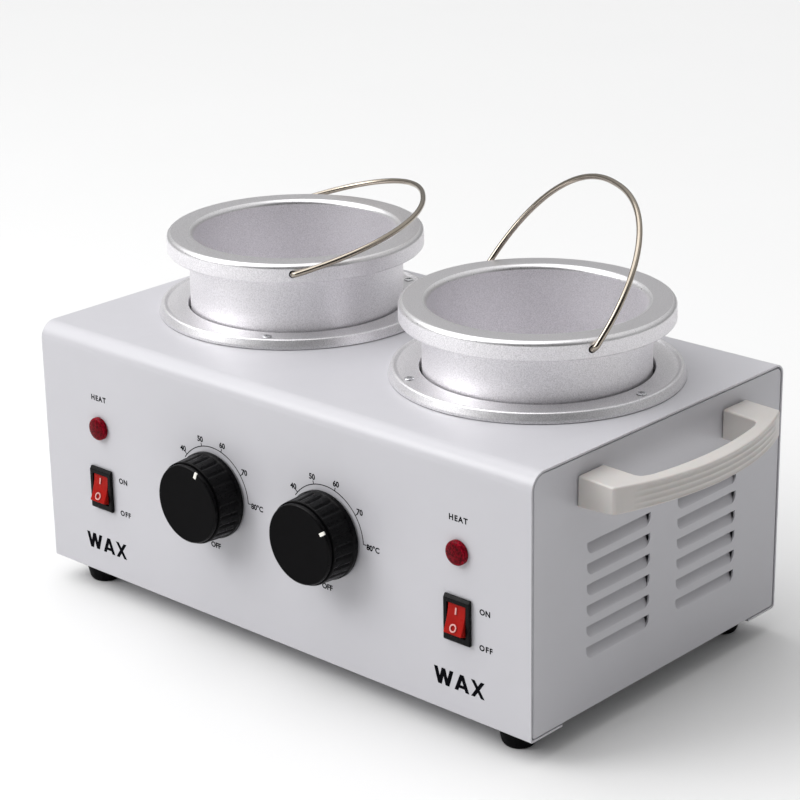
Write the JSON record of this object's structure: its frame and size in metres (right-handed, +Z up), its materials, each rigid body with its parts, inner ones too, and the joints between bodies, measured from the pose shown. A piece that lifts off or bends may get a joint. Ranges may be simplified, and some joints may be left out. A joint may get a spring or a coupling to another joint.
{
  "type": "wax warmer pot",
  "caption": "Double wax warmer: two lift-out pots with wire bails in heated wells of one sheet-metal cabinet with knobs, switches, lamps, louvres and end handles.",
  "frame": {"origin": "on the floor under the middle of the bounding box; the cabinet's own centre is 7.3 mm behind it", "axes": "+X to the right seen from the front, along the cabinet's length; +Y to the rear; +Z up. The control panel faces -Y"},
  "size_m": [0.3866, 0.2084, 0.228],
  "materials": {
    "enamel": "light grey fine-texture powder coat",
    "zinc_steel": "zinc plated",
    "cast_aluminium": "fine-blasted, satin",
    "spun_aluminium": "satin wall, burnished edges, rough grain on the rim band",
    "nickel_wire": "polished, slightly warm",
    "ivory_plastic": "satin ivory",
    "black_plastic": "satin black",
    "black_gloss": "gloss black",
    "red_gloss": "translucent red, gloss",
    "red_lens": "transparent dark red, faceted",
    "white_plastic": "white",
    "black_rubber": "matte",
    "ceramic_fibre": "soft white felt",
    "bakelite": "brown-black",
    "nylon": "natural white"
  },
  "bodies": {
    "cabinet": {"cabinet_wrap": "enamel", "bottom_plate": "zinc_steel", "left_end_panel": "enamel", "left_handle": "ivory_plastic", "left_handle_front_screw": "zinc_steel", "front_left_foot": "black_rubber", "front_left_foot_screw": "zinc_steel", "left_handle_rear_screw": "zinc_steel", "rear_left_foot": "black_rubber", "rear_left_foot_screw": "zinc_steel", "right_end_panel": "enamel", "right_handle": "ivory_plastic", "right_handle_front_screw": "zinc_steel", "front_right_foot": "black_rubber", "front_right_foot_screw": "zinc_steel", "right_handle_rear_screw": "zinc_steel", "rear_right_foot": "black_rubber", "rear_right_foot_screw": "zinc_steel", "left_well_ring": "cast_aluminium", "left_well_liner": "zinc_steel", "left_heater_plate": "cast_aluminium", "left_insulation_pad": "ceramic_fibre", "left_well_ring_screw_1": "zinc_steel", "left_well_ring_screw_2": "zinc_steel", "left_well_ring_screw_3": "zinc_steel", "left_thermostat": "bakelite", "left_thermostat_screw_1": "zinc_steel", "left_thermostat_screw_2": "zinc_steel", "left_switch_housing": "black_gloss", "left_lamp_lens": "red_lens", "left_lamp_body": "nylon", "right_well_ring": "cast_aluminium", "right_well_liner": "zinc_steel", "right_heater_plate": "cast_aluminium", "right_insulation_pad": "ceramic_fibre", "right_well_ring_screw_1": "zinc_steel", "right_well_ring_screw_2": "zinc_steel", "right_well_ring_screw_3": "zinc_steel", "right_thermostat": "bakelite", "right_thermostat_screw_1": "zinc_steel", "right_thermostat_screw_2": "zinc_steel", "right_switch_housing": "black_gloss", "right_lamp_lens": "red_lens", "right_lamp_body": "nylon", "terminal_block": "nylon", "cord_gland": "black_rubber"},
    "left_pot": {"left_pot": "spun_aluminium"},
    "left_bail": {"left_bail": "nickel_wire"},
    "left_knob": {"left_knob": "black_plastic", "left_knob_pointer": "white_plastic", "left_thermostat_shaft": "zinc_steel"},
    "left_rocker": {"left_rocker": "red_gloss"},
    "right_pot": {"right_pot": "spun_aluminium"},
    "right_bail": {"right_bail": "nickel_wire"},
    "right_knob": {"right_knob": "black_plastic", "right_knob_pointer": "white_plastic", "right_thermostat_shaft": "zinc_steel"},
    "right_rocker": {"right_rocker": "red_gloss"}
  },
  "joints": [
    {"name": "left_pot_lift", "type": "slide", "parent": "cabinet", "child": "left_pot", "axis": [0, 0, 1], "range_m": [0, 0.12]},
    {"name": "left_bail_swing", "type": "hinge", "parent": "left_pot", "child": "left_bail", "pos_m": [-0.079, 0.01585, 0.17595], "axis": [-0.6884, 0.7254, 0], "range_deg": [-181, 35]},
    {"name": "left_knob_turn", "type": "hinge", "parent": "cabinet", "child": "left_knob", "pos_m": [-0.0374, -0.08625, 0.0785], "axis": [0, 1, 0], "range_deg": [-202.8, 64.4]},
    {"name": "left_rocker_tilt", "type": "hinge", "parent": "cabinet", "child": "left_rocker", "pos_m": [-0.1186, -0.08625, 0.0599], "axis": [1, 0, 0], "range_deg": [0, 30]},
    {"name": "right_pot_lift", "type": "slide", "parent": "cabinet", "child": "right_pot", "axis": [0, 0, 1], "range_m": [0, 0.12]},
    {"name": "right_bail_swing", "type": "hinge", "parent": "right_pot", "child": "right_bail", "pos_m": [0.079, 0.01585, 0.17125], "axis": [-0.8788, 0.4772, 0], "range_deg": [-143.1, 72.9]},
    {"name": "right_knob_turn", "type": "hinge", "parent": "cabinet", "child": "right_knob", "pos_m": [0.0374, -0.08625, 0.0785], "axis": [0, 1, 0], "range_deg": [-237.4, 29.8]},
    {"name": "right_rocker_tilt", "type": "hinge", "parent": "cabinet", "child": "right_rocker", "pos_m": [0.1186, -0.08625, 0.0599], "axis": [1, 0, 0], "range_deg": [0, 30]}
  ]
}
